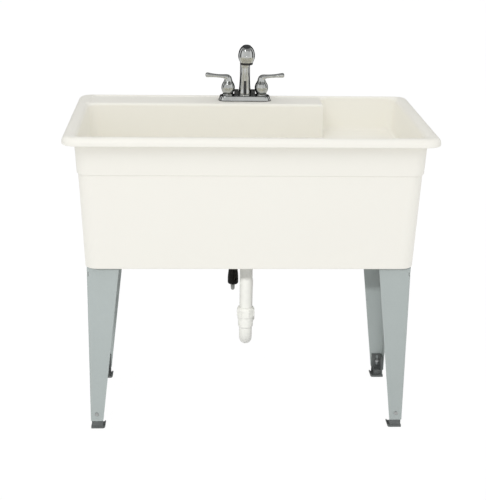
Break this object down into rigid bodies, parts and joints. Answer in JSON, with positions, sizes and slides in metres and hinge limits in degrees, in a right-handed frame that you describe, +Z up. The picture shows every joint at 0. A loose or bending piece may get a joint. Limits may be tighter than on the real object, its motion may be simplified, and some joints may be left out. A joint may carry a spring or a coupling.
{
  "type": "utility laundry sink",
  "caption": "Free-standing moulded laundry tub on tapered steel legs, with a soap shelf, a two-handle centreset faucet with pull-out spray, and a drain trap.",
  "frame": {"origin": "on the floor under the middle of the rim", "axes": "+X to the user's right, +Y towards the wall, +Z up"},
  "size_m": [1.016, 0.61, 1.0555],
  "materials": {
    "tub_plastic": "satin white moulded plastic",
    "trap_plastic": "glossy white pipe plastic",
    "leg_paint": "grey painted sheet steel",
    "foot_plastic": "dark grey moulded plastic",
    "zinc_steel": "zinc-plated steel",
    "chrome": "polished chrome plate",
    "brass": "turned brass",
    "black_rubber": "matt black rubber",
    "weight_rubber": "black rubber-coated weight",
    "hose_braid": "grey braided sleeve",
    "grey_plastic": "dark grey plastic"
  },
  "bodies": {
    "root": {"tub": "tub_plastic", "leg_front_left": "leg_paint", "foot_bolt_front_left": "zinc_steel", "foot_nut_front_left": "zinc_steel", "leg_screw_front_left": "zinc_steel", "leg_front_right": "leg_paint", "foot_bolt_front_right": "zinc_steel", "foot_nut_front_right": "zinc_steel", "leg_screw_front_right": "zinc_steel", "leg_back_left": "leg_paint", "foot_bolt_back_left": "zinc_steel", "foot_nut_back_left": "zinc_steel", "leg_screw_back_left": "zinc_steel", "leg_back_right": "leg_paint", "foot_bolt_back_right": "zinc_steel", "foot_nut_back_right": "zinc_steel", "leg_screw_back_right": "zinc_steel", "strainer_body": "tub_plastic", "strainer_lock_nut": "tub_plastic", "strainer_gasket": "black_rubber", "faucet_gasket": "black_rubber", "tailpiece_nut": "trap_plastic", "tailpiece": "trap_plastic", "trap_inlet_nut": "trap_plastic", "trap_bend": "trap_plastic", "trap_outlet_nut": "trap_plastic", "trap_arm": "trap_plastic", "tailpiece_washer": "grey_plastic", "trap_inlet_washer": "grey_plastic", "trap_outlet_washer": "grey_plastic", "hot_mounting_nut": "grey_plastic", "cold_mounting_nut": "grey_plastic", "hose_guide": "grey_plastic", "hot_inlet_shank": "brass", "cold_inlet_shank": "brass", "hot_cartridge": "brass", "cold_cartridge": "brass", "outlet_tube": "brass", "hose_connector": "brass", "hot_bonnet": "chrome", "cold_bonnet": "chrome", "faucet_base": "chrome", "spout_collar": "chrome", "hose_riser": "hose_braid", "hose_loop": "hose_braid"},
    "hot_handle": {"hot_handle": "chrome", "hot_stem": "brass"},
    "cold_handle": {"cold_handle": "chrome", "cold_stem": "brass"},
    "spout": {"spout": "chrome"},
    "spray": {"spray_head": "chrome", "spray_outlet": "grey_plastic", "hose_stub": "hose_braid"},
    "spray_button": {"spray_button": "grey_plastic"},
    "stopper": {"drain_stopper": "black_rubber"},
    "hose_weight": {"hose_weight": "weight_rubber"},
    "foot_front_left": {"foot_front_left": "foot_plastic"},
    "foot_front_right": {"foot_front_right": "foot_plastic"},
    "foot_back_left": {"foot_back_left": "foot_plastic"},
    "foot_back_right": {"foot_back_right": "foot_plastic"}
  },
  "joints": [
    {"name": "hot_handle_turn", "type": "hinge", "parent": "root", "child": "hot_handle", "pos_m": [-0.0508, 0.24, 0.9], "axis": [0, 0, 1], "range_deg": [0, 90]},
    {"name": "cold_handle_turn", "type": "hinge", "parent": "root", "child": "cold_handle", "pos_m": [0.0508, 0.24, 0.9], "axis": [0, 0, 1], "range_deg": [-90, 0]},
    {"name": "spout_swivel", "type": "hinge", "parent": "root", "child": "spout", "pos_m": [0, 0.24, 0.9], "axis": [0, 0, 1], "range_deg": [-60, 60]},
    {"name": "spray_pull", "type": "slide", "parent": "spout", "child": "spray", "axis": [0, -0.9703, 0.2419], "range_m": [0, 0.4]},
    {"name": "spray_button_press", "type": "slide", "parent": "spray", "child": "spray_button", "axis": [0, 0, -1], "range_m": [0, 0.002], "stiffness_N_per_m": 900},
    {"name": "stopper_lift", "type": "slide", "parent": "root", "child": "stopper", "axis": [0, 0, 1], "range_m": [0, 0.42]},
    {"name": "hose_weight_lift", "type": "slide", "parent": "root", "child": "hose_weight", "axis": [0, 0, 1], "range_m": [0, 0.2]},
    {"name": "foot_front_left_level", "type": "slide", "parent": "root", "child": "foot_front_left", "axis": [0, 0, 1], "range_m": [-0.01, 0.012]},
    {"name": "foot_front_right_level", "type": "slide", "parent": "root", "child": "foot_front_right", "axis": [0, 0, 1], "range_m": [-0.01, 0.012]},
    {"name": "foot_back_left_level", "type": "slide", "parent": "root", "child": "foot_back_left", "axis": [0, 0, 1], "range_m": [-0.01, 0.012]},
    {"name": "foot_back_right_level", "type": "slide", "parent": "root", "child": "foot_back_right", "axis": [0, 0, 1], "range_m": [-0.01, 0.012]}
  ],
  "couplings": [
    {"joint": "hose_weight_lift", "follows": "spray_pull", "ratio": 0.5}
  ]
}
